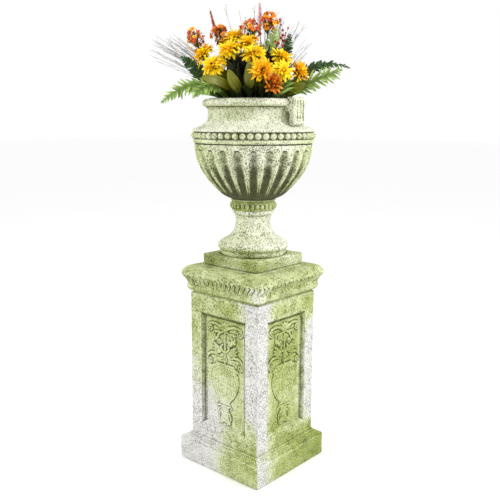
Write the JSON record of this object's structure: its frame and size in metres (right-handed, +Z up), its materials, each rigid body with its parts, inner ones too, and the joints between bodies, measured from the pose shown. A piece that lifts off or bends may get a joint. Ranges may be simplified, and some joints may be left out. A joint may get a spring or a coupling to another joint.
{
  "type": "garden urn on pedestal",
  "caption": "Weathered stone garden urn with fluted bowl, beaded band and bracket handles, on a square panelled pedestal, holding an arrangement of artificial flowers.",
  "frame": {"origin": "on the floor, in the middle of the pedestal base's underside", "axes": "+Z up along the urn's axis; the pedestal's faces look along X and Y; the two handle lugs lie on X; the flowers show first towards -Y and +X"},
  "size_m": [0.5833, 0.499, 1.71],
  "materials": {
    "pedestal_stone": "matte",
    "urn_stone": "matte",
    "mortar": "matte",
    "steel": "satin",
    "liner_plastic": "satin",
    "floral_foam": "matte",
    "sunflower_petals": "matte",
    "fern_green": "satin",
    "leaf_bronze": "satin",
    "grass": "satin",
    "blossom_orange": "matte",
    "rust_flower": "matte",
    "pink_flower": "matte",
    "berry_red": "gloss"
  },
  "bodies": {
    "pedestal": {"pedestal_base": "pedestal_stone", "pedestal_die": "pedestal_stone", "relief_panel_front": "pedestal_stone", "relief_panel_right": "pedestal_stone", "relief_panel_back": "pedestal_stone", "relief_panel_left": "pedestal_stone", "pedestal_cap": "pedestal_stone"},
    "urn": {"urn_foot": "urn_stone", "urn_collar": "urn_stone", "lower_bowl": "urn_stone", "upper_bowl": "urn_stone", "handle_right": "urn_stone", "handle_left": "urn_stone", "seam_mortar": "mortar", "dowel_right": "steel", "dowel_left": "steel", "tie_rod": "steel", "rod_washer_lower": "steel", "rod_nut_lower": "steel", "rod_washer_upper": "steel", "rod_nut_upper": "steel"},
    "arrangement": {"liner_pot": "liner_plastic", "floral_foam": "floral_foam", "sunflower_01": "sunflower_petals", "sunflower_02": "sunflower_petals", "sunflower_03": "sunflower_petals", "sunflower_04": "sunflower_petals", "sunflower_05": "sunflower_petals", "sunflower_06": "sunflower_petals", "sunflower_07": "sunflower_petals", "sunflower_08": "sunflower_petals", "sunflower_09": "sunflower_petals", "sunflower_10": "sunflower_petals", "sunflower_11": "sunflower_petals", "sunflower_12": "sunflower_petals", "sunflower_13": "sunflower_petals", "fern_frond_1": "fern_green", "fern_frond_2": "fern_green", "fern_frond_3": "fern_green", "fern_frond_4": "fern_green", "fern_frond_5": "fern_green", "fern_frond_6": "fern_green", "fern_frond_7": "fern_green", "fern_frond_8": "fern_green", "broad_leaf_1": "leaf_bronze", "broad_leaf_2": "leaf_bronze", "broad_leaf_3": "leaf_bronze", "broad_leaf_4": "leaf_bronze", "broad_leaf_5": "leaf_bronze", "grass_spray_left": "grass", "grass_spray_right": "grass", "twig_spray": "grass", "blossom_spray_1": "blossom_orange", "blossom_spray_2": "blossom_orange", "blossom_spray_3": "blossom_orange", "blossom_spray_4": "blossom_orange", "rust_spike": "rust_flower", "pink_plume": "pink_flower", "berry_sprig": "berry_red"}
  },
  "joints": [
    {"name": "urn_lift", "type": "slide", "parent": "pedestal", "child": "urn", "axis": [0, 0, 1], "range_m": [0, 0.15]},
    {"name": "arrangement_lift", "type": "slide", "parent": "urn", "child": "arrangement", "axis": [0, 0, 1], "range_m": [0, 0.32]}
  ]
}
